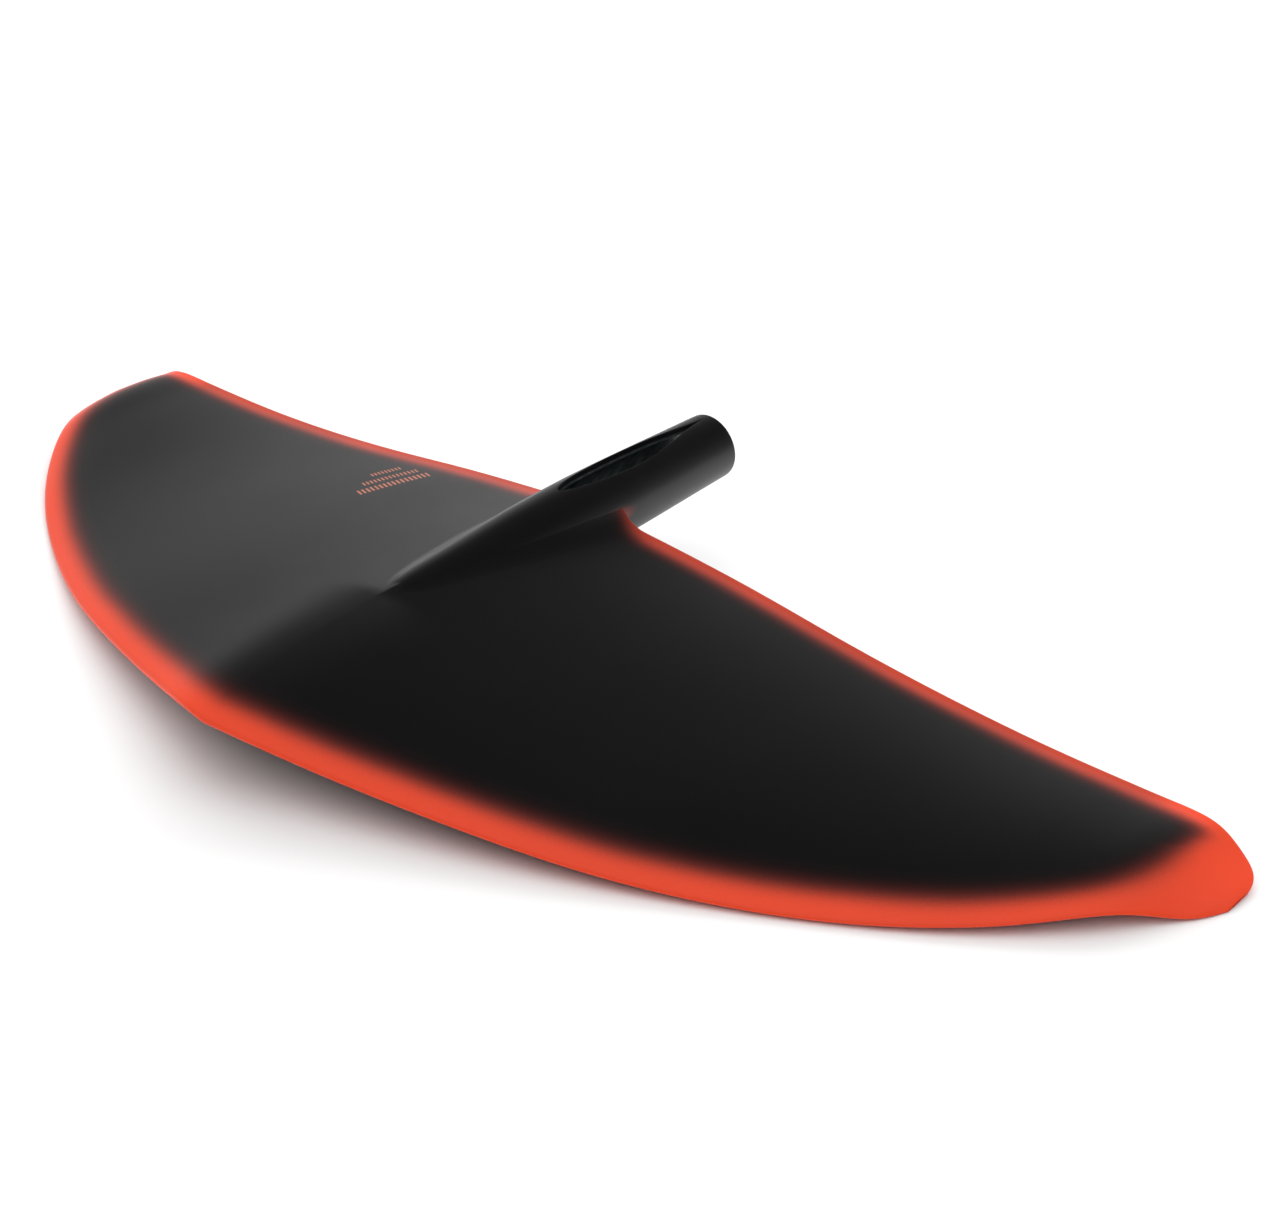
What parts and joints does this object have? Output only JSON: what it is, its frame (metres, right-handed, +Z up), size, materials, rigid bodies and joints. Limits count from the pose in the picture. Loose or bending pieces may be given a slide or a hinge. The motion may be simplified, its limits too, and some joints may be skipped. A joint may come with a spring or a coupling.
{
  "type": "hydrofoil front wing",
  "caption": "Swept, drooping carbon hydrofoil wing with bright rim edges and a tubular rear socket, open on top, that a fuselage plugs into.",
  "frame": {"origin": "on the floor under the middle of the wing's bounding box, as it lies on its two tips and two places on its leading edge", "axes": "+X to the right tip, +Y rearwards, the way the socket opens, +Z up. The wing lies 6 degrees nose down from its flying attitude"},
  "size_m": [0.757, 0.3368, 0.0738],
  "materials": {
    "upper_skin": "satin black clear-coated carbon laminate with an orange rim faded into the black",
    "lower_skin": "satin black clear-coated carbon laminate with an orange rim faded into the black",
    "socket_shell": "satin black clear-coated carbon laminate",
    "bare_carbon": "unpainted woven carbon with a light resin gloss",
    "glass_laminate": "machined glass and epoxy laminate, dark",
    "stainless_steel": "turned stainless steel",
    "foam": "closed-cell foam, cut surface",
    "dense_foam": "high-density foam, cut surface",
    "carbon_strip": "one-way carbon strip, bare"
  },
  "bodies": {
    "root": {"upper_skin": "upper_skin", "lower_skin": "lower_skin", "socket_shell": "socket_shell", "socket_liner": "bare_carbon", "bolt_block": "glass_laminate", "socket_bulkhead": "glass_laminate", "front_threaded_insert": "stainless_steel", "rear_threaded_insert": "stainless_steel", "nose_core": "foam", "front_core_left": "foam", "front_core_right": "foam", "rear_core_left": "foam", "rear_core_right": "foam", "tip_filler_left": "foam", "tip_filler_right": "foam", "spar_web": "dense_foam", "upper_spar_cap": "carbon_strip", "lower_spar_cap": "carbon_strip", "leading_edge_filler_left": "carbon_strip", "leading_edge_filler_right": "carbon_strip", "trailing_edge_filler_left": "carbon_strip", "trailing_edge_filler_right": "carbon_strip"}
  },
  "joints": []
}
